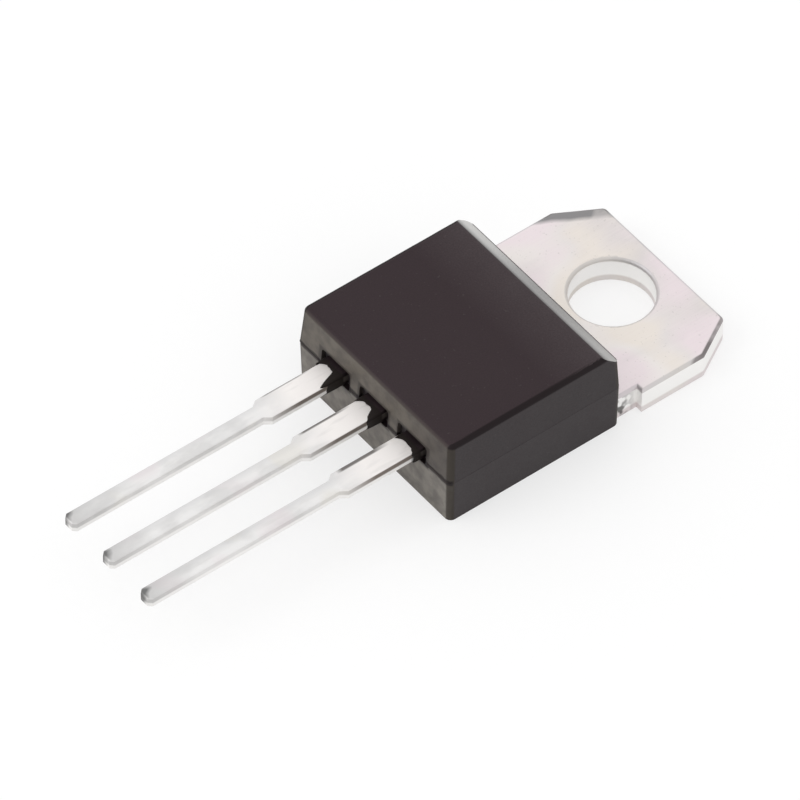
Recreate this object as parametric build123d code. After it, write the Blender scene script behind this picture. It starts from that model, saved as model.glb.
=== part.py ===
from build123d import *
import os

# A triac in a flat three-lead power package with a screw-on metal tab.
#
# Millimetres. The origin is the centre of the mounting hole, on the underside of the tab.
# +Z points out of the plain moulded face, +Y towards the free end of the tab, and the three
# leads run towards -Y. From left to right they are main terminal 1, main terminal 2 and gate.
# The tab is insulated: a ceramic tile with copper foil on both sides carries the die pad.

# ---- Tab, which is also the heat sink ----
tab_width = 10.2
tab_thickness = 1.27
tab_length = 6.4  # from the moulding to the tab's free end
hole_diameter = 3.7
hole_to_tab_end = 2.8
corner_cut_across = 1.15
corner_cut_along = 2.0
tab_corner_radius = 0.25
tab_edge_round = 0.2  # the roll that the blanking die leaves round the upper edge
notch_depth = 0.35  # a nick in each side of the tab, against the moulding
notch_length = 1.1
lock_ledge_width = 0.3  # plastic grips under this ledge, along the sunk part of the tab
lock_ledge_height = 0.5
moisture_groove_width = 0.5
moisture_groove_depth = 0.2
groove_cover = 0.5  # from the moulding's end face to the moisture groove

# ---- Moulding ----
body_width = 10.2
body_length = 9.0
body_height = 4.4
body_corner_radius = 0.3
upper_side_draft = 0.15  # how far each upper wall leans in between the parting line and the top
upper_front_draft = 0.14
upper_back_draft = 0.08
lower_draft = 0.06
back_bevel_along = 0.8  # bevel along the top edge beside the tab
back_bevel_down = 0.65
top_edge_round = 0.26
side_wall = 0.8  # plastic beside the sunk part of the tab
front_wall = 0.7  # plastic in front of the sunk part of the tab
pocket_margin = 0.36  # the shallow pocket that each lead comes out of
pocket_depth = 0.25
pocket_above = 0.3
pocket_below = 0.18
pocket_corner_radius = 0.18

# ---- Leads ----
lead_pitch = 2.54
lead_length = 13.7  # from the parting line to the tip
lead_thickness = 0.5
shoulder_width = 1.2
shoulder_length = 3.7
shoulder_taper = 0.3
lead_width = 0.75
lead_edge_round = 0.07
tip_cut = 0.16
post_length = 1.5  # the wide inner ends that the clips are soldered to
post_cover = 0.5  # plastic in front of a post
post_side_cover = 0.95
post_gap = 0.45  # between the posts, the centre lead and the die pad

# ---- The insulated stack under the chip ----
solder_thickness = 0.06
foil_thickness = 0.15
ceramic_thickness = 0.38
tile_margin = 0.35  # from the tile's edge to the edge of the tab
tile_back_cover = 0.75  # from the moulding's end face back to the tile
foil_margin = 0.3  # bare ceramic round each foil
pad_margin = 0.1
pad_downset = 0.28  # the die pad lies this much lower than the leads

# ---- Chip and its clips ----
chip_size = 4.0
chip_thickness = 0.28
mesa_step = 0.3  # the step round the chip's upper edge that the glass fills
mesa_depth = 0.1
clip_thickness = 0.2
clip_rise = 0.25  # an arch's height over the chip
clip_ramp = 0.3
clip_setback = 0.25  # from the electrode's edge to a clip's foot
main_foot_width = 1.8
main_foot_length = 2.4
gate_foot_width = 0.6
gate_foot_length = 0.7
post_foot_width = 1.1
post_foot_length = 0.8
post_foot_setback = 0.2

# ---- Places along Y ----
tab_end_y = hole_to_tab_end
body_back_y = tab_end_y - tab_length
body_front_y = body_back_y - body_length
body_centre_y = (body_back_y + body_front_y) / 2
lead_tip_y = body_front_y - lead_length
sunk_front_y = body_front_y + front_wall
post_front_y = body_front_y + post_cover
post_back_y = post_front_y + post_length
tile_back_y = body_back_y - tile_back_cover
foil_back_y = tile_back_y - foil_margin
pad_back_y = foil_back_y - pad_margin
pad_front_y = post_back_y + post_gap
foil_front_y = pad_front_y - pad_margin
tile_front_y = foil_front_y - foil_margin
chip_centre_y = (pad_front_y + pad_back_y) / 2
chip_front_y = chip_centre_y - chip_size / 2
electrode_front_y = chip_front_y + mesa_step

# ---- Widths of the stack ----
sunk_width = body_width - 2 * side_wall
tile_width = sunk_width - 2 * tile_margin
foil_width = tile_width - 2 * foil_margin
pad_width = foil_width - 2 * pad_margin
mesa_size = chip_size - 2 * mesa_step
electrode_half = mesa_size / 2

# ---- Heights, from the bottom up ----
lower_foil_z = tab_thickness + solder_thickness
ceramic_z = lower_foil_z + foil_thickness
upper_foil_z = ceramic_z + ceramic_thickness
pad_solder_z = upper_foil_z + foil_thickness
pad_z = pad_solder_z + solder_thickness
lead_z = pad_z + pad_downset
lead_top_z = lead_z + lead_thickness
chip_solder_z = pad_z + lead_thickness
chip_z = chip_solder_z + solder_thickness
chip_top_z = chip_z + chip_thickness
chip_foot_z = chip_top_z + solder_thickness
post_foot_z = lead_top_z + solder_thickness
arch_z = chip_foot_z + clip_rise
parting_z = lead_z


def block(x_range, y_range, z_range):
    """A box between two values on each axis."""
    sizes = [high - low for low, high in (x_range, y_range, z_range)]
    middle = [(high + low) / 2 for low, high in (x_range, y_range, z_range)]
    return Pos(*middle) * Box(*sizes)


def centred_block(width, y_range, z_range):
    """A box that is centred across the package."""
    return block((-width / 2, width / 2), y_range, z_range)


def plate(outline, z, thickness):
    """An outline in plan, as points, made into a flat plate."""
    return Pos(0, 0, z) * extrude(make_face(Polyline(*outline, close=True)), thickness)


def mirrored(right_side):
    """An outline that is symmetrical across the package, from its right-hand points."""
    return right_side + [(-x, y) for x, y in reversed(right_side)]


def upright_edges(shape):
    return shape.edges().filter_by(Axis.Z)


def heat_sink_tab():
    """The stamped copper plate: free end with its hole, and the part sunk in the moulding."""
    half = tab_width / 2
    notch_y = body_back_y + notch_length
    free_end = plate(
        mirrored(
            [
                (half - notch_depth, body_back_y),
                (half - notch_depth, notch_y),
                (half, notch_y),
                (half, tab_end_y - corner_cut_along),
                (half - corner_cut_across, tab_end_y),
            ]
        ),
        0,
        tab_thickness,
    )
    corners = upright_edges(free_end).filter_by(lambda edge: edge.center().Y > notch_y + 0.01)
    free_end = fillet(corners, tab_corner_radius)
    free_end -= Pos(0, 0, tab_thickness / 2) * Cylinder(hole_diameter / 2, tab_thickness)
    rolled = free_end.faces().sort_by(Axis.Z)[-1].edges()
    free_end = fillet(rolled.filter_by(lambda edge: edge.center().Y > body_back_y + 0.01), tab_edge_round)

    sunk = centred_block(sunk_width, (sunk_front_y, body_back_y), (lock_ledge_height, tab_thickness))
    foot_width = sunk_width - 2 * lock_ledge_width
    foot_front_y = sunk_front_y + lock_ledge_width
    sunk += centred_block(foot_width, (foot_front_y, body_back_y), (0, lock_ledge_height))
    groove_y = body_back_y - groove_cover
    sunk -= extrude(
        Plane.YZ * make_face(
            Polyline(
                (groove_y, tab_thickness),
                (groove_y - moisture_groove_width, tab_thickness),
                (groove_y - moisture_groove_width / 2, tab_thickness - moisture_groove_depth),
                close=True,
            )
        ),
        sunk_width / 2,
        both=True,
    )
    return free_end + sunk


def stack_layer(width, y_range, z, thickness):
    return centred_block(width, y_range, (z, z + thickness))


def insulator_ceramic():
    return stack_layer(tile_width, (tile_front_y, tile_back_y), ceramic_z, ceramic_thickness)


def insulator_foil(z):
    return stack_layer(foil_width, (foil_front_y, foil_back_y), z, foil_thickness)


def tab_solder():
    return stack_layer(foil_width, (foil_front_y, foil_back_y), tab_thickness, solder_thickness)


def pad_solder():
    return stack_layer(pad_width, (pad_front_y, pad_back_y), pad_solder_z, solder_thickness)


def outer_lead(x):
    """One lead from inside the moulding to its tip: a wide shoulder that tapers to a blade."""
    wide = shoulder_width / 2
    narrow = lead_width / 2
    shoulder_y = body_front_y - shoulder_length
    outline = mirrored(
        [
            (wide, post_front_y),
            (wide, shoulder_y),
            (narrow, shoulder_y - shoulder_taper),
            (narrow, lead_tip_y + tip_cut),
            (narrow - tip_cut, lead_tip_y),
        ]
    )
    blade = plate(outline, lead_z, lead_thickness)
    flats = blade.faces().filter_by(Axis.Z).edges()
    outside = flats.filter_by(lambda edge: edge.center().Y < post_front_y - 0.01)
    return Pos(x, 0, 0) * fillet(outside, lead_edge_round)


def side_lead(side):
    """A left (-1) or right (1) lead with the inner post that a clip is soldered to."""
    inner = shoulder_width / 2 + post_gap
    outer = body_width / 2 - post_side_cover
    post = block(
        sorted((side * inner, side * outer)),
        (post_front_y, post_back_y),
        (lead_z, lead_top_z),
    )
    return outer_lead(side * lead_pitch) + post


def bent_strip(undersides, thickness, width):
    """A strip as wide as width, whose underside follows (y, z) points."""
    upper = [(y, z + thickness) for y, z in reversed(undersides)]
    side_view = Plane.YZ * make_face(Polyline(*undersides, *upper, close=True))
    return extrude(side_view, width / 2, both=True)


def centre_lead():
    """Main terminal 2: the die pad and the centre lead, stamped as one and bent down to the tile."""
    pad = stack_layer(pad_width, (pad_front_y, pad_back_y), pad_z, lead_thickness)
    bend = bent_strip(
        [(post_front_y, lead_z), (post_back_y - post_gap, lead_z), (pad_front_y, pad_z)],
        lead_thickness,
        shoulder_width,
    )
    return outer_lead(0) + bend + pad


def square_on_chip(size, z, thickness):
    reach = (chip_centre_y - size / 2, chip_centre_y + size / 2)
    return stack_layer(size, reach, z, thickness)


def chip_solder():
    """The solder under the chip, which lies only where the chip and the die pad overlap."""
    under_chip = square_on_chip(chip_size, chip_solder_z, solder_thickness)
    over_pad = stack_layer(pad_width, (pad_front_y, pad_back_y), chip_solder_z, solder_thickness)
    return under_chip & over_pad


def triac_chip():
    """The silicon: a square with a lower step round its upper edge."""
    step_z = chip_top_z - mesa_depth
    slab = square_on_chip(chip_size, chip_z, chip_thickness - mesa_depth)
    return slab + square_on_chip(mesa_size, step_z, mesa_depth)


def passivation_glass():
    """The glass frame that fills the step round the chip."""
    step_z = chip_top_z - mesa_depth
    return square_on_chip(chip_size, step_z, mesa_depth) - square_on_chip(mesa_size, step_z, mesa_depth)


def foot_places(side):
    """(x range, y range) of a clip's foot on the chip, and of its foot on the post."""
    first_y = electrode_front_y + clip_setback
    if side < 0:
        left = -electrode_half + clip_setback
        on_chip = ((left, left + main_foot_width), (first_y, first_y + main_foot_length))
    else:
        right = electrode_half - clip_setback / 2
        on_chip = ((right - gate_foot_width, right), (first_y, first_y + gate_foot_length))
    inner = shoulder_width / 2 + post_gap + post_foot_setback
    back = post_back_y - post_foot_setback
    on_post = (sorted((side * inner, side * (inner + post_foot_width))), (back - post_foot_length, back))
    return on_chip, on_post


def clip(side):
    """A stamped outline, bent into an arch from the chip to a lead's post."""
    (chip_x, chip_y), (post_x, post_y) = foot_places(side)
    arched = bent_strip(
        [
            (chip_y[1], chip_foot_z),
            (chip_y[0], chip_foot_z),
            (chip_y[0] - clip_ramp, arch_z),
            (post_y[1] + clip_ramp, arch_z),
            (post_y[1], post_foot_z),
            (post_y[0], post_foot_z),
        ],
        clip_thickness,
        body_width,
    )
    outline = [
        (chip_x[0], chip_y[1]),
        (chip_x[1], chip_y[1]),
        (chip_x[1], chip_y[0]),
        (post_x[1], post_y[1]),
        (post_x[1], post_y[0]),
        (post_x[0], post_y[0]),
        (post_x[0], post_y[1]),
        (chip_x[0], chip_y[0]),
    ]
    return arched & plate(outline, 0, body_height)


def foot_solder(side, on_chip):
    """The solder under one foot of a clip."""
    chip_foot, post_foot = foot_places(side)
    x_range, y_range = chip_foot if on_chip else post_foot
    z = chip_top_z if on_chip else lead_top_z
    return block(x_range, y_range, (z, z + solder_thickness))


def body_section(z, side_inset, front_inset, back_inset):
    """The moulding's rounded outline at one height."""
    width = body_width - 2 * side_inset
    length = body_length - front_inset - back_inset
    centre_y = body_centre_y + (front_inset - back_inset) / 2
    return Pos(0, centre_y, z) * RectangleRounded(width, length, body_corner_radius)


def moulding_outside():
    """Two drafted halves that meet at the parting line, with a bevel beside the tab."""
    parting = body_section(parting_z, 0, 0, 0)
    foot = body_section(0, lower_draft, lower_draft, 0)
    top = body_section(body_height, upper_side_draft, upper_front_draft, upper_back_draft)
    outside = loft([foot, parting], ruled=True) + loft([parting, top], ruled=True)
    bevel = Plane.YZ * make_face(
        Polyline(
            (body_back_y - upper_back_draft - back_bevel_along, body_height),
            (body_back_y, body_height),
            (body_back_y, body_height - back_bevel_down),
            (body_back_y - upper_back_draft, body_height - back_bevel_down),
            close=True,
        )
    )
    outside -= extrude(bevel, body_width / 2, both=True)
    top_face = outside.faces().sort_by(Axis.Z)[-1]
    return fillet(top_face.edges(), top_edge_round)


def lead_pocket(x):
    """The shallow, round-cornered pocket in the front wall that a lead comes out of."""
    width = shoulder_width + 2 * pocket_margin
    height = pocket_below + lead_thickness + pocket_above
    mouth = RectangleRounded(width, height, pocket_corner_radius)
    centre_z = lead_z - pocket_below + height / 2
    front_wall_plane = Plane.XZ.offset(-body_front_y)
    return Pos(x, 0, centre_z) * extrude(front_wall_plane * mouth, -pocket_depth)


def moulded_body(inside):
    """The epoxy moulding, cast round everything that it holds."""
    body = moulding_outside()
    for side in (-1, 0, 1):
        body -= lead_pocket(side * lead_pitch)
    for piece in inside:
        body -= piece
    return body


def all_parts():
    parts = {
        "heat_sink_tab": heat_sink_tab(),
        "tab_solder": tab_solder(),
        "insulator_lower_foil": insulator_foil(lower_foil_z),
        "insulator_ceramic": insulator_ceramic(),
        "insulator_upper_foil": insulator_foil(upper_foil_z),
        "pad_solder": pad_solder(),
        "main_terminal_2_lead": centre_lead(),
        "chip_solder": chip_solder(),
        "triac_chip": triac_chip(),
        "passivation_glass": passivation_glass(),
    }
    for side, name in ((-1, "main_terminal_1"), (1, "gate")):
        parts[f"{name}_lead"] = side_lead(side)
        parts[f"{name}_clip"] = clip(side)
        parts[f"{name}_chip_solder"] = foot_solder(side, True)
        parts[f"{name}_post_solder"] = foot_solder(side, False)
    parts["moulded_body"] = moulded_body(list(parts.values()))
    return parts


os.makedirs("parts", exist_ok=True)
for name, shape in all_parts().items():
    shape.label = name
    export_step(shape, f"parts/{name}.step")
    print(f"{name}: {len(shape.solids())} solid, {shape.volume:.3f} mm3")
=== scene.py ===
# %% [markdown]
# # A triac with a screw-on metal tab
#
# A triac switches mains current. Its chip sits in a block of black moulding compound, and
# its heat leaves through a copper tab that is screwed to a heat sink. Three flat leads go
# to the circuit board: main terminal 1, main terminal 2 and the gate.
#
# This lesson takes the finished solids of all nineteen pieces and gives them their
# finishes: moulded epoxy, tin plate over copper, and the materials of the sealed inside.
# Three thin pieces, the flash, a resin film on the tab and dark collars round the leads, are added with
# Geometry Nodes.
#
# Everything is in metres. The origin is the mounting hole's centre on the tab's underside,
# +Z is up out of the plain face, and the leads run towards -Y.

import math

import bpy
from mathutils import Matrix, Vector


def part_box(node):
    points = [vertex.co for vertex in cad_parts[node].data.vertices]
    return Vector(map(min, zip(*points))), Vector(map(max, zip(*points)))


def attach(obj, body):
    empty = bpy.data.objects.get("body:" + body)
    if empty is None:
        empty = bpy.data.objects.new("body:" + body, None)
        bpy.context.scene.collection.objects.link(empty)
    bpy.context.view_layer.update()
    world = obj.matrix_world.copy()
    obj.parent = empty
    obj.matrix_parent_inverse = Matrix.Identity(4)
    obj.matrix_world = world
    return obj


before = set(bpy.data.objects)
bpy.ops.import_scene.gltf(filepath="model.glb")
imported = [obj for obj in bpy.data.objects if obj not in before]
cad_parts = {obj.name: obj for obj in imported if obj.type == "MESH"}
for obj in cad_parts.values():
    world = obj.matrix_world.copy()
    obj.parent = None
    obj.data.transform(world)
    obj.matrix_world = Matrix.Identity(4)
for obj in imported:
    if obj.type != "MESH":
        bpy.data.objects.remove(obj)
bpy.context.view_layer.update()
MM = 0.001

# %% [markdown]
# ## Sizes that the finishes need
#
# A finish often changes at a place: the cut tip of a lead, the line where the two halves of
# the mould met. These places could be typed in as numbers, but they would be wrong as soon
# as a size changed. Where the box of a solid gives them, they are read from it instead.

# %% Read the places
body_low, body_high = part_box("moulded_body")
tab_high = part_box("heat_sink_tab")[1]
lead_low, lead_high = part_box("gate_lead")
chip_low, chip_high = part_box("triac_chip")
parting_z = lead_low.z
lead_middle_z = (lead_low.z + lead_high.z) / 2
lead_thickness = lead_high.z - lead_low.z
# The gate lead's inner post reaches further to one side than its blade does, so the middle of
# its box, which stands for the pitch here, is 0.06 mm more than the blades' 2.54 mm.
lead_pitch = (lead_low.x + lead_high.x) / 2
print("parting line at", round(parting_z / MM, 2), "mm, leads", round(lead_thickness / MM, 2), "mm thick")

# %% [markdown]
# ## The camera
#
# A small part is usually pictured from far away through a long lens, so that parallel edges
# stay nearly parallel. The view is set by two angles round the part and a distance. That is
# easier to change than a position and a rotation, which have to agree with each other.

# %% Place the camera
view_azimuth = math.radians(51.482)
view_elevation = math.radians(48.171)
view_roll = math.radians(0.712)
view_distance = 459.47 * MM
view_target = Vector((-1.498, -10.002, 0.0)) * MM

camera_data = bpy.data.cameras.new("camera")
camera_data.lens = 500
camera_data.sensor_width = 36
camera_data.clip_start = 0.01
camera_data.clip_end = 50
camera = bpy.data.objects.new("camera", camera_data)
bpy.context.scene.collection.objects.link(camera)
towards_camera = Vector((
    math.sin(view_azimuth) * math.cos(view_elevation),
    -math.cos(view_azimuth) * math.cos(view_elevation),
    math.sin(view_elevation),
))
turn = towards_camera.to_track_quat("Z", "Y").to_matrix() @ Matrix.Rotation(view_roll, 3, "Z")
camera.matrix_world = Matrix.Translation(view_target + towards_camera * view_distance) @ turn.to_4x4()
bpy.context.scene.camera = camera
print("camera at", [round(v / MM, 1) for v in camera.location], "mm")

# %% [markdown]
# ## Maths on sockets
#
# A material's pattern is a sum: some noise, plus a mask, times an amount. Wiring Math nodes
# one by one hides that sum. The small class below wraps a socket, so that the sum can be
# written as a Python expression, and each operator adds its Math node.

# %% A socket that understands operators
def plug(tree, value, socket):
    """Connects an expression to a socket, or sets a plain number, colour or vector on it."""
    if isinstance(value, Expr):
        tree.links.new(value.socket, socket)
    elif isinstance(value, (tuple, list)) and len(value) == 3 and len(socket.default_value) == 4:
        socket.default_value = (*value, 1.0)
    else:
        socket.default_value = value


class Expr:
    """One output socket. Operators on it add Math nodes to its tree."""

    def __init__(self, tree, socket):
        self.tree, self.socket = tree, socket

    def math(self, operation, *values, clamp=False):
        """Adds one Math node that works on the values."""
        node = self.tree.nodes.new("ShaderNodeMath")
        node.operation, node.use_clamp = operation, clamp
        for place, value in enumerate(values):
            plug(self.tree, value, node.inputs[place])
        return Expr(self.tree, node.outputs[0])

    def __add__(self, other):
        return self.math("ADD", self, other)

    def __sub__(self, other):
        return self.math("SUBTRACT", self, other)

    def __mul__(self, other):
        return self.math("MULTIPLY", self, other)

    def __truediv__(self, other):
        return self.math("DIVIDE", self, other)

    def __rsub__(self, other):
        return self.math("SUBTRACT", other, self)

    def __abs__(self):
        return self.math("ABSOLUTE", self)

    def __lt__(self, other):
        return self.math("LESS_THAN", self, other)

    def __gt__(self, other):
        return self.math("GREATER_THAN", self, other)

    __radd__ = __add__
    __rmul__ = __mul__

    def clamped(self):
        """Kept between 0 and 1."""
        return self.math("ADD", self, 0.0, clamp=True)

    def beside(self, pitch):
        """How far each point is from the nearest of many places, a pitch apart."""
        return (self.math("FRACT", self / pitch + 0.5) - 0.5) * pitch

    def rise(self, start, end):
        """0 before start, 1 after end, and a straight ramp between. End may be the lower one."""
        return ((self - start) / (end - start)).clamped()


# %% [markdown]
# ## Building any tree
#
# Shader trees and Geometry Nodes trees are both made of nodes with settings and sockets. One
# method adds a node of any type: the settings come first, because some of them change
# which sockets the node has, and then the values and links.

# %% One method for any other node
class Tree:
    """A node tree that is being built."""

    def __init__(self, tree):
        self.tree = tree

    def node(self, kind, settings=None, inputs=None, output=0):
        """Adds a node and gives one of its outputs, by name or place."""
        made = self.tree.nodes.new(kind)
        for name, value in (settings or {}).items():
            setattr(made, name, value)
        for name, value in (inputs or {}).items():
            plug(self.tree, value, made.inputs[name])
        return Expr(self.tree, made.outputs[output])

    def split(self, vector):
        """The x, y and z of a vector."""
        first = self.node("ShaderNodeSeparateXYZ", inputs={0: vector})
        return [Expr(self.tree, out) for out in first.socket.node.outputs]


trial = Tree(bpy.data.node_groups.new("trial", "ShaderNodeTree"))
amount = trial.node("ShaderNodeValue")
mask = 1 - amount * 2
print("1 - amount * 2 ends in a", mask.socket.node.operation, "node, the last of", len(trial.tree.nodes))
bpy.data.node_groups.remove(trial.tree)

# %% [markdown]
# ## A finish
#
# Every finish below starts from the Principled shader. What is the same all over, such as
# how metallic it is, is set on the shader's own socket. What varies over the surface is an
# expression on the piece's own coordinates, so the pattern stays put when the part is moved.

# %% The finish builder
class Finish(Tree):
    """A material with one Principled shader, patterned in the piece's own coordinates."""

    def __init__(self, name, **constants):
        self.material = bpy.data.materials.new(name)
        self.material.use_nodes = True
        super().__init__(self.material.node_tree)
        self.tree.nodes.clear()
        self.shader = self.tree.nodes.new("ShaderNodeBsdfPrincipled")
        out = self.tree.nodes.new("ShaderNodeOutputMaterial")
        self.tree.links.new(self.shader.outputs[0], out.inputs["Surface"])
        for socket, value in constants.items():
            self.set(socket.replace("_", " "), value)
        self.place = self.node("ShaderNodeTexCoord", output="Object")
        self.x, self.y, self.z = [axis / MM for axis in self.split(self.place)]
        self.facing = self.split(self.node("ShaderNodeNewGeometry", output="Normal"))

    def set(self, socket, value):
        """Gives a socket of the shader its value or its pattern."""
        plug(self.tree, value, self.shader.inputs[socket])

    def noise(self, size, stretch=(1, 1, 1), detail=2.0, roughness=0.5, seed=0.0):
        """Noise from 0 to 1 whose blotches are about size millimetres across."""
        scale = tuple(1 / (size * MM * amount) for amount in stretch)
        moved = self.node(
            "ShaderNodeMapping", {"vector_type": "POINT"}, {"Vector": self.place, "Scale": scale}
        )
        return self.node(
            "ShaderNodeTexNoise",
            {"noise_dimensions": "4D"},
            {"Vector": moved, "W": seed, "Scale": 1.0, "Detail": detail, "Roughness": roughness},
            "Fac",
        )

    def blend(self, amount, first, second):
        """A colour between two colours. The Mix node's colours are inputs 6 and 7 and output 2."""
        return self.node(
            "ShaderNodeMix", {"data_type": "RGBA", "clamp_factor": True}, {0: amount, 6: first, 7: second}, 2
        )

    def relief(self, height, depth, strength=1.0):
        """Bumps: height runs from 0 to 1, and depth is how high 1 stands, in millimetres."""
        return self.node(
            "ShaderNodeBump", None, {"Strength": strength, "Distance": depth * MM, "Height": height}
        )

    def coat(self, *nodes):
        """Puts the finish on some of the solids."""
        for name in nodes:
            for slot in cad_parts[name].material_slots:
                slot.material = self.material
        print(self.material.name, "on", ", ".join(nodes))


# %% [markdown]
# ## Moulding compound
#
# The block is epoxy filled with silica powder, pressed into a mould whose walls were roughened
# by spark erosion. It is nearly black with a warm tint, matt, and finely grained. The mould's
# two halves leave a thin line all round. The face that the leads come out of is painted paler
# and browner, which is painted light, and so is the brown-grey band on its rounded top edge.
# The other walls are painted a little greyer than the top, also as painted light. The bevel
# beside the tab is polished by the mould, and its pale colour is a painted reflection. Rounded
# side and upright edges are painted dark as painted shade, and so are the parting line on the
# lead face and the rims of the three pockets that the leads come out of.
#
# A picture wrapped round the block would bring its own light with it. Layers of noise give the
# same grain at any size, and masks on height and length paint the shaded line and the painted
# light of the pale face. The bevel's gloss is a coat: it is weak when seen straight on and strong
# at a low angle, as the real one is. A pale colour alone would not do that, and the painted
# reflection on the bevel lies under the coat.

# %% Moulding compound
compound = Finish(
    "moulding_compound", Metallic=0.0, Specular_IOR_Level=0.20, Coat_Roughness=0.16, Coat_IOR=1.7
)
grain = compound.noise(0.07, detail=3.0, roughness=0.6)
cloud = compound.noise(0.9, detail=3.0, seed=2.0)
flow = compound.noise(4.0, stretch=(1.6, 0.7, 1), detail=1.0, seed=5.0)
speck = compound.noise(0.16, detail=1.0, seed=8.0).rise(0.70, 0.76)

# Which face or edge a point lies on follows from its place and from the way it faces.
lean_x, lean_y, lean_z = [abs(part) for part in compound.facing]
front_y, back_y, top_z = body_low.y / MM, body_high.y / MM, body_high.z / MM
wall = lean_z.rise(0.45, 0.25)
bevel = lean_z.rise(0.70, 0.74) * lean_z.rise(0.84, 0.80) * compound.facing[1].rise(0.45, 0.55)
rounded = lean_z.rise(0.985, 0.93) * lean_z.rise(0.20, 0.35) * (1 - bevel)
side_edge = rounded * lean_x.rise(0.15, 0.30)
upright_edge_shade = wall * lean_x.rise(0.08, 0.28) * lean_y.rise(0.10, 0.30)
lead_side = compound.y.rise(front_y + 0.24, front_y + 0.15)

dark = compound.blend(flow, (0.0265, 0.0148, 0.0182), (0.0325, 0.0195, 0.0232))
dark = compound.blend(cloud * 0.4, dark, (0.0370, 0.0270, 0.0295))
rubbed = compound.y.rise(back_y - 3.4, back_y - 1.0) * (1 - wall)
dark = compound.blend(rubbed * (0.40 + 0.5 * cloud), dark, (0.0640, 0.0500, 0.0530))
# The walls are painted a little greyer than the top, which is painted light.
dark = compound.blend(wall * (0.5 + 0.5 * flow), dark, (0.0430, 0.0385, 0.0395))
dark = compound.blend(grain.rise(0.35, 0.7) * 0.4, dark, (0.0180, 0.0120, 0.0140))
dark = compound.blend(speck * 0.18, dark, (0.0900, 0.0800, 0.0780))
print("block from y", round(front_y, 2), "to", round(back_y, 2), "mm, top at", round(top_z, 2), "mm")

# %% The bevel's painted reflection and the lead face's painted light
# The bevel is painted paler, most at its two ends and most of all at the -X end, as a painted reflection;
# just under the top edge it is painted darker, as painted shade.
bevel_sheen_ends = abs(compound.x - 0.5 + 0.6 * (flow - 0.5)).rise(0.8, 3.8)
smooth = compound.blend(bevel_sheen_ends, (0.0500, 0.0430, 0.0390), (0.2100, 0.2020, 0.1900))
smooth = compound.blend(compound.x.rise(-1.5, -4.5) * 0.7, smooth, (0.5000, 0.4900, 0.4700))
smooth = compound.blend(compound.z.rise(top_z - 0.34, top_z - 0.02), smooth, (0.0300, 0.0260, 0.0240))
dark = compound.blend(bevel, dark, smooth)
parting = parting_z / MM

mottled = compound.noise(0.55, detail=2.0, seed=11.0).rise(0.35, 0.62)
low_half = compound.z.rise(parting + 0.2, parting - 0.3)
far_end = compound.x.rise(1.6, 4.4) * (1 - low_half)
# The face that the leads come out of is painted paler and browner, which is painted light: paler still on
# its lower half, less on the upper half towards +X. The next line paints a brown-grey band of painted light
# on its rounded top edge.
pale = compound.blend(low_half, (0.1250, 0.1100, 0.0930), (0.1950, 0.1800, 0.1600))
shade = compound.blend(lead_side * wall * (0.55 + 0.45 * mottled) * (1 - 0.5 * far_end), dark, pale)
shade = compound.blend(lead_side * rounded * 0.45, shade, (0.0900, 0.0760, 0.0660))
print("the worn face is split in two tones at z", round(parting, 2), "mm")

# %% Painted shade on edges, parting line and pocket rims
# Each pocket is this wide and high round its lead, and its middle lies a little higher.
pocket_width, pocket_height, pocket_lift = 1.92, 0.98, 0.06
across = abs(compound.x.beside(lead_pitch / MM)) - pocket_width / 2
upward = abs(compound.z - lead_middle_z / MM - pocket_lift) - pocket_height / 2
# No painted shade round a pocket lies further from the block's middle than this.
outermost_rim = 3.7
# The rims of the pockets are painted near black, as painted shade in the recesses.
pocket_shade = across.math("MAXIMUM", across, upward).rise(0.17, 0.05) * lead_side * (0.5 + 0.5 * mottled)
pocket_shade = pocket_shade * abs(compound.x).rise(outermost_rim + 0.2, outermost_rim)
# The parting line on the lead face is painted near black, as painted shade in its crease.
line = 1 - abs(compound.z - parting).rise(0.07 + 0.06 * mottled, 0.13 + 0.09 * mottled)
line = line * lead_side * wall
# The rounded side edges are painted near black too, as painted shade.
painted_shade_lines = (side_edge * 0.9 + line * 0.85 + pocket_shade * 0.75).clamped()
# Points in front of the front face, which are the dark collars round the leads, are painted near black.
in_front_of_face = compound.y.rise(front_y - 0.03, front_y - 0.08)
# The upright edges of the walls are painted darker, as painted shade.
shade = compound.blend(upright_edge_shade * 0.9, shade, (0.0330, 0.0265, 0.0205))
shade = compound.blend(painted_shade_lines, shade, (0.0060, 0.0025, 0.0032))
shade = compound.blend(in_front_of_face * 0.9, shade, (0.0110, 0.0075, 0.0060))
compound.set("Base Color", shade)
compound.set("Roughness", 0.52 + 0.10 * cloud + 0.08 * grain - 0.28 * bevel - 0.08 * wall)
compound.set("Coat Weight", bevel * compound.z.rise(top_z, top_z - 0.20))
compound.set("Normal", compound.relief(grain * 0.8 + cloud * 0.6 + line * -0.8, 0.010, 0.5))
compound.coat("moulded_body")

# %% [markdown]
# ## Tin plate on the tab
#
# The tab is punched from rolled copper strip and plated with matt tin. Rolling leaves faint
# streaks along the strip, and the plating has soft blotches with a pink or a cream tint.
# Punching pulls the upper edge down into a small roll, burnishes the upper part of the cut
# side and breaks the lower part away, so the side is brighter above and duller below. The cut
# side is painted near white, partly for the burnish and partly as painted light on the hole's
# shaded wall. The rolled edge is painted darker as a painted reflection, most along the cut
# corners, and one cut corner has a darker, wide pressed band. Resin sticks in the notches.
#
# The streaks could be an anisotropic highlight, but the real ones are wide enough to see.
# Stretched noise in the colour, the roughness and the relief is simpler, and it survives
# being baked.

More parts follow.
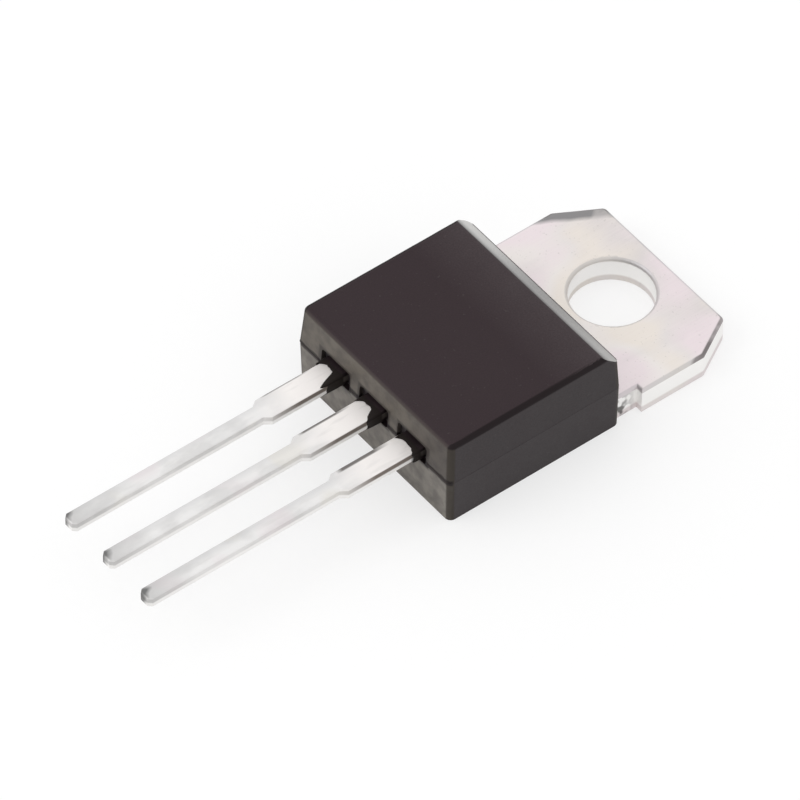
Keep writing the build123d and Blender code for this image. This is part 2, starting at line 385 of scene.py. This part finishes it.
# %% Tin plate on the tab
tab_plate = Finish("tab_tin_plate", Metallic=0.75)
streaks = tab_plate.noise(0.09, stretch=(1, 22, 1), detail=2.0)
blotches = tab_plate.noise(1.3, stretch=(1, 1.5, 1), detail=3.0, seed=3.0)
tints = tab_plate.noise(3.4, detail=1.0, seed=14.0)
stains = tab_plate.noise(1.6, stretch=(1, 1.6, 1), detail=3.0, seed=7.0).rise(0.52, 0.72)
pores = tab_plate.noise(0.11, detail=1.0, seed=9.0).rise(0.67, 0.73)

plate = tab_plate.blend(blotches, (0.800, 0.755, 0.735), (0.880, 0.835, 0.810))
plate = tab_plate.blend(tab_plate.y.rise(-1.0, 1.8) * 0.9, plate, (0.710, 0.660, 0.655))
plate = tab_plate.blend(tints.rise(0.46, 0.56) * 0.75, plate, (0.830, 0.725, 0.765))
plate = tab_plate.blend(tints.rise(0.46, 0.38) * 0.75, plate, (0.825, 0.760, 0.690))
plate = tab_plate.blend(streaks.rise(0.3, 0.75) * 0.25, plate, (0.890, 0.860, 0.835))
plate = tab_plate.blend(stains * 0.30, plate, (0.650, 0.620, 0.615))
plate = tab_plate.blend(pores * 0.30, plate, (0.480, 0.450, 0.430))
print("tab's free end at y", round(tab_high.y / MM, 2), "mm, its top at z", round(tab_high.z / MM, 2), "mm")

# %% Edges of the tab
# The corner cuts take 1.15 mm off the width and 2 mm off the length. How far a point lies
# from them is its distance from the slanted line, worked out from both.
cut_x, cut_y = 1.15, 2.0
cut_length = math.hypot(cut_x, cut_y)
from_cut = (tab_high.x / MM - abs(tab_plate.x)) * (cut_y / cut_length)
from_cut = from_cut + (tab_high.y / MM - cut_y - tab_plate.y) * (cut_x / cut_length)
pressed = (from_cut + 0.25 * blotches).rise(0.84, 0.58) * tab_plate.x.rise(0.0, -0.5)
pressed = pressed * tab_plate.facing[2].rise(0.3, 0.6) * (0.60 + 0.40 * stains.rise(0.4, 0.1))

rise_z = abs(tab_plate.facing[2])
cut_side = rise_z.rise(0.30, 0.12)
rolled = rise_z.rise(0.985, 0.90) * (1 - cut_side)
slanted = rolled * from_cut.rise(0.40, 0.28) * (0.35 + 0.65 * blotches.rise(0.40, 0.55))
broken = cut_side * tab_plate.z.rise(0.36, 0.24)
resin = tab_plate.noise(0.40, detail=1.0, seed=15.0).rise(0.42, 0.56)
notch = cut_side * tab_plate.y.rise(back_y + 1.0, back_y + 0.4) * abs(tab_plate.x).rise(3.0, 3.2)

plate = tab_plate.blend(pressed * 0.95, plate, (0.250, 0.246, 0.250))
# The rolled edge is painted darker as a painted reflection, most of all along the cut corners.
plate = tab_plate.blend(rolled * (0.45 + 0.35 * stains), plate, (0.420, 0.415, 0.420))
plate = tab_plate.blend(slanted * 0.85, plate, (0.150, 0.135, 0.130))
# The cut sides are painted near white, partly for the burnish and partly as painted light on the shaded wall
# of the hole.
plate = tab_plate.blend(cut_side * (1 - broken), plate, (0.940, 0.930, 0.915))
plate = tab_plate.blend(broken * 0.5, plate, (0.720, 0.695, 0.670))
plate = tab_plate.blend(resin * notch * 0.85, plate, (0.060, 0.055, 0.052))
tab_plate.set("Base Color", plate)
tab_plate.set("Roughness", 0.38 + 0.14 * blotches + 0.10 * streaks + 0.12 * broken)
tab_plate.set("Normal", tab_plate.relief(streaks * 0.5 + blotches * 0.8 - pores * 0.4, 0.008, 0.5))
tab_plate.coat("heat_sink_tab")

# %% [markdown]
# ## Tin plate on the leads
#
# The leads are the same copper and tin, but they went through more tools. The wide shoulders
# keep a clean plate. The blades are handled, smudged and a little greyer, and painted darker
# towards their left edge as a painted reflection. The sides were cut when the three leads were
# parted from their frame: the punch burnished the lower half of the cut and tore the upper half,
# which is dull and brown, and near the block that half is painted darker still, as painted shade.
# The outer half of each shoulder has its left edge painted dark, a painted reflection on the
# rounded edge. The tips were cut last, through the plate, and are stained.
#
# All three leads share one finish. What lies left or right on a lead is measured from the
# nearest lead's middle, which repeats with the pitch, so each pattern is written once.

# %% Tin plate on the leads
lead_plate = Finish("lead_tin_plate", Metallic=0.6)
drawn = lead_plate.noise(0.06, stretch=(1, 30, 1), detail=2.0, seed=1.0)
patches = lead_plate.noise(0.8, stretch=(1, 2.5, 1), detail=3.0, seed=4.0)
scuffs = lead_plate.noise(0.35, stretch=(1, 5, 1), detail=2.0, seed=6.0).rise(0.58, 0.7)
smudges = lead_plate.noise(0.9, stretch=(1, 2.0, 1), detail=3.0, seed=21.0).rise(0.46, 0.62)
tints = lead_plate.noise(2.6, detail=1.0, seed=23.0)

# The clean plate of a shoulder ends 3.2 mm from the block, 0.5 mm before the shoulder does.
clean_end = front_y - 3.2
tip = lead_low.y / MM
off_centre = lead_plate.x.beside(lead_pitch / MM)
blade = lead_plate.y.rise(clean_end + 0.9, clean_end - 0.9)
tip_zone = lead_plate.y.rise(tip + 2.4, tip + 0.3)

tin = lead_plate.blend(patches, (0.900, 0.860, 0.840), (0.950, 0.920, 0.900))
tin = lead_plate.blend(blade * (0.55 + 0.30 * patches), tin, (0.780, 0.780, 0.780))
# The blades are painted darker towards their left edge, a painted reflection.
tin = lead_plate.blend(off_centre.rise(0.05, -0.32) * blade * 0.45, tin, (0.560, 0.560, 0.565))
tin = lead_plate.blend(smudges * blade * 0.44, tin, (0.560, 0.555, 0.550))
tin = lead_plate.blend(tints.rise(0.55, 0.65) * blade * 0.40, tin, (0.760, 0.680, 0.700))
tin = lead_plate.blend(tints.rise(0.42, 0.34) * blade * 0.40, tin, (0.740, 0.710, 0.640))
tin = lead_plate.blend(scuffs * 0.22, tin, (0.600, 0.580, 0.565))
tin = lead_plate.blend(tip_zone * 0.54, tin, (0.430, 0.425, 0.420))
print("the clean plate ends at y", round(clean_end, 2), "mm, the tips at y", round(tip, 2), "mm")

# %% Edges and tips of the leads
side_face = abs(lead_plate.facing[2]).rise(0.80, 0.45)
torn_and_shaded = side_face * lead_plate.z.rise(lead_middle_z / MM - 0.04, lead_middle_z / MM + 0.04)
burnished = side_face * (1 - torn_and_shaded)
upper_round = abs(lead_plate.facing[2]).rise(0.97, 0.85) * (1 - side_face)
outer_half = lead_plate.y.rise(clean_end - 0.3, clean_end)
outer_half = outer_half * lead_plate.y.rise(clean_end + 2.4, clean_end + 1.6)
uneven = lead_plate.noise(0.45, detail=1.0, seed=17.0)
stain = (abs(off_centre + 0.24) + abs(lead_plate.y - tip - 0.08) + 0.5 * uneven).rise(0.70, 0.40)

tin = lead_plate.blend(burnished * 0.8, tin, (0.930, 0.915, 0.900))
# The upper half of each cut side is painted dark brown, fully near the block and faintly on the blades:
# partly the tear, partly painted shade on the side faces.
tin = lead_plate.blend(torn_and_shaded * (0.92 - 0.85 * blade), tin, (0.150, 0.118, 0.095))
# The outer half of each shoulder has its left edge painted dark, a painted reflection on the rounded edge.
left_edge_reflection = (upper_round + off_centre.rise(-0.43, -0.50)).clamped() * off_centre.rise(-0.2, -0.4)
tin = lead_plate.blend(left_edge_reflection * outer_half * 0.9, tin, (0.120, 0.108, 0.100))
tin = lead_plate.blend(stain * 0.80, tin, (0.070, 0.070, 0.070))
lead_plate.set("Base Color", tin)
lead_plate.set("Roughness", 0.38 + 0.12 * patches + 0.10 * drawn + 0.15 * side_face)
lead_plate.set("Normal", lead_plate.relief(drawn * 0.6 + patches * 0.6 - scuffs * 0.3, 0.006, 0.5))
lead_plate.coat("main_terminal_1_lead", "main_terminal_2_lead", "gate_lead")

# %% [markdown]
# ## Metals of the sealed inside
#
# Nobody sees these pieces unless the package is cut open, but a section drawing or an exploded
# view will show them. Solder freezes with a soft crystalline mottle, and the clips and foils
# are bare copper with the streaks of the rolling mill.

# %% Solder and bare copper
solder = Finish("solder", Metallic=1.0)
crystals = solder.noise(0.25, detail=3.0, roughness=0.6)
solder.set("Base Color", solder.blend(crystals.rise(0.3, 0.7), (0.380, 0.380, 0.390), (0.620, 0.615, 0.600)))
solder.set("Roughness", 0.32 + 0.25 * crystals)
solder.set("Normal", solder.relief(crystals, 0.006, 0.6))
solder.coat(
    "tab_solder",
    "pad_solder",
    "chip_solder",
    "main_terminal_1_chip_solder",
    "main_terminal_1_post_solder",
    "gate_chip_solder",
    "gate_post_solder",
)

copper = Finish("bare_copper", Metallic=1.0)
milled = copper.noise(0.05, stretch=(1, 18, 1), detail=2.0)
tarnish = copper.noise(0.9, detail=3.0, seed=3.0).rise(0.4, 0.75)
bright = copper.blend(milled, (0.780, 0.370, 0.240), (0.900, 0.480, 0.330))
copper.set("Base Color", copper.blend(tarnish * 0.6, bright, (0.450, 0.190, 0.120)))
copper.set("Roughness", 0.26 + 0.18 * tarnish + 0.08 * milled)
copper.set("Normal", copper.relief(milled, 0.004, 0.5))
copper.coat("insulator_lower_foil", "insulator_upper_foil", "main_terminal_1_clip", "gate_clip")

# %% [markdown]
# ## Ceramic, silicon and glass
#
# The insulator is fired alumina, white with a very fine grain. The chip is ground silicon,
# grey and glossy, and carries pale contact metal on its upper face: a large area for main
# terminal 1 and a small corner for the gate. The glass frame round the chip is fired from
# powder, so it has tiny bubbles.
#
# The contact areas could be solids of their own, but they are a few thousandths of a millimetre
# thick. Masks made from two ramps each paint them where the chip's box says they are.

# %% Ceramic, silicon and glass
ceramic = Finish("alumina", Metallic=0.0)
fired = ceramic.noise(0.08, detail=3.0)
ceramic.set("Base Color", ceramic.blend(fired, (0.780, 0.765, 0.720), (0.880, 0.870, 0.835)))
ceramic.set("Roughness", 0.55 + 0.15 * fired)
ceramic.set("Normal", ceramic.relief(fired, 0.005, 0.6))
ceramic.coat("insulator_ceramic")

silicon = Finish("silicon", Specular_IOR_Level=0.8)
lapped = silicon.noise(0.05, stretch=(6, 1, 1), detail=2.0)
chip_x = silicon.x - (chip_low.x + chip_high.x) / 2 / MM
chip_y = silicon.y - (chip_low.y + chip_high.y) / 2 / MM
upper = silicon.facing[2].rise(0.5, 0.9)
contact_half, gate_corner, gap_half = 1.55, 1.9, 0.10
inside = (contact_half - abs(chip_x)).rise(0.0, 0.04) * (contact_half - abs(chip_y)).rise(0.0, 0.04)
from_corner = abs(chip_x - gate_corner) + abs(chip_y + gate_corner)
gate_gap = (gap_half - abs(from_corner - gate_corner)).rise(0.0, 0.03)
contact = upper * inside * (1 - gate_gap)
silicon.set("Base Color", silicon.blend(contact, (0.110, 0.115, 0.135), (0.720, 0.720, 0.730)))
silicon.set("Metallic", contact)
silicon.set("Roughness", 0.18 + 0.20 * lapped + 0.10 * contact)
silicon.set("Normal", silicon.relief(lapped, 0.002, 0.4))
silicon.coat("triac_chip")

glass = Finish("passivation_glass", Metallic=0.0, Specular_IOR_Level=0.6)
bubbles = glass.noise(0.06, detail=1.0).rise(0.6, 0.7)
haze = glass.noise(0.4, detail=2.0, seed=2.0)
green = glass.blend(haze, (0.150, 0.230, 0.180), (0.260, 0.340, 0.280))
glass.set("Base Color", glass.blend(bubbles * 0.5, green, (0.520, 0.580, 0.540)))
glass.set("Roughness", 0.08 + 0.15 * haze)
glass.set("Normal", glass.relief(bubbles, 0.004, 0.5))
glass.coat("passivation_glass")

# %% [markdown]
# ## Geometry Nodes for three thin pieces
#
# Three thin pieces follow a path: the flash, a hair-thin ridge where the mould's halves met, the
# resin that crept a little way over the tab, and dark collars round the roots of the leads. They
# could be drawn point by point, but their paths follow from the part's sizes, so each is a
# node tree with those sizes as inputs.
#
# The class below makes a tree with named inputs, and its last method runs it: it sets the
# inputs by their identifiers, takes the result as a plain mesh and throws the modifier away.

# %% Helpers for Geometry Nodes
class Recipe(Tree):
    """A Geometry Nodes tree with named inputs, which ends in a plain mesh with a material."""

    def __init__(self, name, **sizes):
        super().__init__(bpy.data.node_groups.new(name, "GeometryNodeTree"))
        interface = self.tree.interface
        interface.new_socket("Geometry", in_out="OUTPUT", socket_type="NodeSocketGeometry")
        self.sizes = sizes
        self.identifiers = {}
        for size in sizes:
            item = interface.new_socket(size, in_out="INPUT", socket_type="NodeSocketFloat")
            self.identifiers[size] = item.identifier
        self.given = self.tree.nodes.new("NodeGroupInput")

    def size(self, name):
        """One of the tree's named inputs."""
        return Expr(self.tree, self.given.outputs[name])

    def vector(self, x=0.0, y=0.0, z=0.0):
        """A vector from three numbers or expressions."""
        return self.node("ShaderNodeCombineXYZ", None, {0: x, 1: y, 2: z})

    def make(self, geometry, material):
        """Ends the tree, runs it and gives the mesh as a new object."""
        real = self.node("GeometryNodeRealizeInstances", None, {0: geometry})
        smooth = self.node("GeometryNodeSetShadeSmooth", None, {0: real})
        coated = self.node("GeometryNodeSetMaterial", None, {0: smooth, "Material": material})
        out = self.tree.nodes.new("NodeGroupOutput")
        self.tree.links.new(coated.socket, out.inputs[0])

        name = self.tree.name
        seed = bpy.data.objects.new(name + "_recipe", bpy.data.meshes.new(name + "_recipe"))
        bpy.context.scene.collection.objects.link(seed)
        modifier = seed.modifiers.new("recipe", "NODES")
        modifier.node_group = self.tree
        for size, value in self.sizes.items():
            modifier[self.identifiers[size]] = value
        grown = seed.evaluated_get(bpy.context.evaluated_depsgraph_get())
        mesh = bpy.data.meshes.new_from_object(grown)
        mesh.name = name
        bpy.data.objects.remove(seed)
        piece = bpy.data.objects.new(name, mesh)
        bpy.context.scene.collection.objects.link(piece)
        print(name, "has", len(mesh.vertices), "points and", len(mesh.polygons), "faces")
        return piece


# %% [markdown]
# ## The flash
#
# The path is a rounded rectangle at the parting line. Where a lead comes out of its pocket
# there is no flash, so the path is cut there: the points inside the three windows are
# deleted, which leaves separate pieces of path. Each is given a small round section, and noise
# makes it thicker and thinner along its way. It is thinner along the sides and the back.

# %% The path of the flash
flash = Recipe(
    "parting_flash",
    width=body_high.x - body_low.x,
    length=body_high.y - body_low.y,
    corner=0.3 * MM,
    middle_y=(body_high.y + body_low.y) / 2,
    height=parting_z,
    pitch=lead_pitch,
    window=0.98 * MM,
    thickness=0.020 * MM,
)
outline = flash.node(
    "GeometryNodeCurvePrimitiveQuadrilateral",
    {"mode": "RECTANGLE"},
    {"Width": flash.size("width"), "Height": flash.size("length")},
)
outline = flash.node(
    "GeometryNodeFilletCurve",
    {"mode": "POLY"},
    {"Curve": outline, "Count": 8, "Radius": flash.size("corner")},
)
outline = flash.node(
    "GeometryNodeTransform",
    None,
    {"Geometry": outline, "Translation": flash.vector(y=flash.size("middle_y"), z=flash.size("height"))},
)
outline = flash.node(
    "GeometryNodeResampleCurve", {"mode": "LENGTH"}, {"Curve": outline, "Length": 0.09 * MM}
)
print("parting_flash takes", ", ".join(flash.sizes))

# %% Gaps in the flash at the leads
wire = flash.node("GeometryNodeCurveToMesh", None, {"Curve": outline})
at_x, at_y = flash.split(flash.node("GeometryNodeInputPosition"))[:2]
outer_windows = abs(abs(at_x) - flash.size("pitch")) < flash.size("window")
middle_window = abs(at_x) < flash.size("window")
front_end = flash.size("middle_y") - flash.size("length") * 0.49
pockets = (outer_windows + middle_window).clamped() * (at_y < front_end)
wire = flash.node(
    "GeometryNodeDeleteGeometry",
    {"domain": "POINT", "mode": "ALL"},
    {"Geometry": wire, "Selection": pockets},
)
path = flash.node("GeometryNodeMeshToCurve", None, {0: wire})
print("the path has three windows,", round(2 * flash.sizes["window"] / MM, 2), "mm wide")

# %% The flash along the parting line
ragged = flash.node(
    "ShaderNodeTexNoise",
    {"noise_dimensions": "4D"},
    {"W": 3.0, "Scale": 1 / (0.7 * MM), "Detail": 2.0},
    "Fac",
)
section = flash.node(
    "GeometryNodeCurvePrimitiveCircle", {"mode": "RADIUS"}, {"Resolution": 6, 4: flash.size("thickness")}
)
ridge = flash.node(
    "GeometryNodeCurveToMesh",
    None,
    {
        "Curve": path,
        "Profile Curve": section,
        "Scale": (0.4 + 1.2 * ragged) * (1 - 0.75 * (at_y > front_end)),
        "Fill Caps": True,
    },
)
flash_piece = flash.make(ridge, compound.material)
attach(flash_piece, "root")

# %% [markdown]
# ## The resin on the tab
#
# Under pressure a little resin creeps out between the mould and the tab and sets as a thin
# ragged film. A flat oval bead laid in the corner between the block and the tab shows only
# its outer quarter, which is the shape of that film, and noise along the bead makes the
# edge ragged.

# %% The resin that crept over the tab
creep = Recipe(
    "resin_creep",
    reach=0.13 * MM,
    film=0.016 * MM,
    half_width=4.6 * MM,
    edge_y=body_high.y,
    height=tab_high.z,
)
line_start = creep.vector(creep.size("half_width") * -1.0, creep.size("edge_y"), creep.size("height"))
line_end = creep.vector(creep.size("half_width"), creep.size("edge_y"), creep.size("height"))
corner = creep.node(
    "GeometryNodeCurvePrimitiveLine", {"mode": "POINTS"}, {"Start": line_start, "End": line_end}
)
corner = creep.node(
    "GeometryNodeResampleCurve", {"mode": "LENGTH"}, {"Curve": corner, "Length": 0.07 * MM}
)
ragged = creep.node(
    "ShaderNodeTexNoise",
    {"noise_dimensions": "4D"},
    {"W": 6.0, "Scale": 1 / (0.8 * MM), "Detail": 3.0},
    "Fac",
)
bead = creep.node("GeometryNodeCurvePrimitiveCircle", {"mode": "RADIUS"}, {"Resolution": 12, 4: 1.0})
bead = creep.node(
    "GeometryNodeTransform",
    None,
    {"Geometry": bead, "Scale": creep.vector(creep.size("reach"), creep.size("film"), 1.0)},
)
film = creep.node(
    "GeometryNodeCurveToMesh",
    None,
    {"Curve": corner, "Profile Curve": bead, "Scale": 0.15 + 1.1 * ragged.rise(0.3, 0.7), "Fill Caps": True},
)
creep_piece = creep.make(film, compound.material)
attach(creep_piece, "root")

# %% [markdown]
# ## Dark collars on the roots of the leads
#
# A thin dark collar wraps the root of each lead and runs further out along one edge of it.
# Each collar is a little different.
#
# One collar could be made and copied. Here only its path is copied: a rounded rectangle round
# the lead is placed at each of three points, and the thickness comes afterwards, so that
# noise on the place makes each collar different. The section is a long flat ellipse that lies
# along the lead.

# %% The collars
collars = Recipe(
    "lead_collars",
    pitch=lead_pitch,
    width=1.23 * MM,
    thickness=lead_thickness + 0.03 * MM,
    corner=0.06 * MM,
    root_y=body_low.y + 0.10 * MM,
    height=lead_middle_z,
    reach=0.44 * MM,
    film=0.022 * MM,
)
around = collars.node(
    "GeometryNodeCurvePrimitiveQuadrilateral",
    {"mode": "RECTANGLE"},
    {"Width": collars.size("width"), "Height": collars.size("thickness")},
)
around = collars.node(
    "GeometryNodeFilletCurve",
    {"mode": "POLY"},
    {"Curve": around, "Count": 4, "Radius": collars.size("corner")},
)
around = collars.node(
    "GeometryNodeTransform", None, {"Geometry": around, "Rotation": (math.pi / 2, 0.0, 0.0)}
)
print("lead_collars takes", ", ".join(collars.sizes))

# %% One collar's path for each lead
first_root = collars.vector(collars.size("pitch") * -1.0, collars.size("root_y"), collars.size("height"))
roots = collars.node(
    "GeometryNodeMeshLine",
    {"mode": "OFFSET"},
    {"Count": 3, "Start Location": first_root, "Offset": collars.vector(x=collars.size("pitch"))},
)
around = collars.node("GeometryNodeInstanceOnPoints", None, {"Points": roots, "Instance": around})
around = collars.node("GeometryNodeRealizeInstances", None, {0: around})
around = collars.node(
    "GeometryNodeResampleCurve", {"mode": "LENGTH"}, {"Curve": around, "Length": 0.025 * MM}
)
print("collars", round(collars.sizes["pitch"] / MM, 2), "mm apart at z", round(lead_middle_z / MM, 2), "mm")

# %% The collars' thickness
at_x = collars.split(collars.node("GeometryNodeInputPosition"))[0]
ragged = collars.node(
    "ShaderNodeTexNoise",
    {"noise_dimensions": "4D"},
    {"W": 9.0, "Scale": 1 / (0.30 * MM), "Detail": 0.5},
    "Fac",
)
sideways = at_x.beside(lead_pitch) / collars.size("width")
one_side = sideways.rise(0.16, 0.50)
further = 1.15 - at_x / lead_pitch
spread = 0.40 + 0.8 * ragged + 0.45 * abs(sideways).rise(0.20, 0.50) + one_side * further
oval = collars.node("GeometryNodeCurvePrimitiveCircle", {"mode": "RADIUS"}, {"Resolution": 14, 4: 1.0})
oval = collars.node(
    "GeometryNodeTransform",
    None,
    {"Geometry": oval, "Scale": collars.vector(collars.size("reach"), collars.size("film"), 1.0)},
)
sleeve = collars.node(
    "GeometryNodeCurveToMesh", None, {"Curve": around, "Profile Curve": oval, "Scale": spread}
)
collar_piece = collars.make(sleeve, compound.material)
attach(collar_piece, "root")

# %% Where the three thin pieces are
for piece in (flash_piece, creep_piece, collar_piece):
    corners = [Vector(corner) for corner in piece.bound_box]
    lows = [round(min(c[axis] for c in corners) / MM, 3) for axis in range(3)]
    highs = [round(max(c[axis] for c in corners) / MM, 3) for axis in range(3)]
    print(piece.name, "from", lows, "to", highs, "mm")

# %% [markdown]
# ## The studio
#
# Small parts are pictured on a white sheet in even light. The world gives that light, and one
# large lamp from the side of the leads lifts their face a little. Seen directly and in the
# metal, the world is plain white, and the sheet glows enough to merge with it. For all other
# rays the sheet is plain white paper, which keeps the soft shadow close to the part. A
# stronger lamp would also whiten the sheet, but it would bleach the part too.

# %% The white sheet
sheet_mesh = bpy.data.meshes.new("white_sheet")
half, sheet_z = 1.5, -0.02 * MM
sheet_corners = [(x, y, sheet_z) for x, y in ((-half, -half), (half, -half), (half, half), (-half, half))]
sheet_mesh.from_pydata(sheet_corners, [], [(0, 1, 2, 3)])
white_sheet = bpy.data.objects.new("white_sheet", sheet_mesh)
bpy.context.scene.collection.objects.link(white_sheet)
paper = Finish("white_paper", Specular_IOR_Level=0.0, Roughness=1.0)
fibres = paper.noise(0.5, detail=2.0)
paper.set("Base Color", paper.blend(fibres, (0.96, 0.96, 0.96), (0.98, 0.98, 0.98)))
sheet_mesh.materials.append(paper.material)
print("white_sheet is", 2 * half, "m wide and lies", round(-sheet_z / MM, 3), "mm under the tab")


# %% The sheet's glow
def seen_rays(tree):
    """1 for the rays that show the background: straight, mirrored or through glass."""
    camera_ray = tree.node("ShaderNodeLightPath", output="Is Camera Ray")
    rays = camera_ray.socket.node.outputs
    mirrored, through = [Expr(tree.tree, rays[name]) for name in ("Is Glossy Ray", "Is Transmission Ray")]
    return (camera_ray + mirrored + through).clamped()


glow = 0.60
paper_and_glow = paper.node(
    "ShaderNodeMixShader",
    None,
    {
        0: seen_rays(paper) * glow,
        1: Expr(paper.tree, paper.shader.outputs[0]),
        2: paper.node("ShaderNodeEmission"),
    },
)
paper_out = next(node for node in paper.tree.nodes if node.type == "OUTPUT_MATERIAL")
paper.tree.links.new(paper_and_glow.socket, paper_out.inputs["Surface"])
print("the sheet glows with", glow, "of full white where it is seen")

# %% The even light
sky = bpy.data.worlds.new("studio")
sky.use_nodes = True
bpy.context.scene.world = sky
studio = Tree(sky.node_tree)
sky.node_tree.nodes.clear()
even_light = 0.93
background = studio.node(
    "ShaderNodeBackground",
    None,
    {"Color": (1.0, 1.0, 1.0), "Strength": seen_rays(studio) * (1.0 - even_light) + even_light},
)
world_out = sky.node_tree.nodes.new("ShaderNodeOutputWorld")
sky.node_tree.links.new(background.socket, world_out.inputs["Surface"])
print("the world's strength is", even_light, "on the part and 1 where it is seen")

# %% The lamp
lamp_place, lamp_aim = Vector((-0.20, -0.42, 0.36)), Vector((0.0, -0.01, 0.0))
lamp_data = bpy.data.lights.new("soft_lamp", "AREA")
lamp_data.shape = "SQUARE"
lamp_data.size = 0.40
lamp_data.energy = 0.80
soft_lamp = bpy.data.objects.new("soft_lamp", lamp_data)
bpy.context.scene.collection.objects.link(soft_lamp)
soft_lamp.location = lamp_place
soft_lamp.rotation_euler = (lamp_place - lamp_aim).to_track_quat("Z", "Y").to_euler()
bpy.context.scene.view_settings.view_transform = "Standard"
print("soft_lamp is", round((lamp_place - lamp_aim).length, 2), "m from the part")
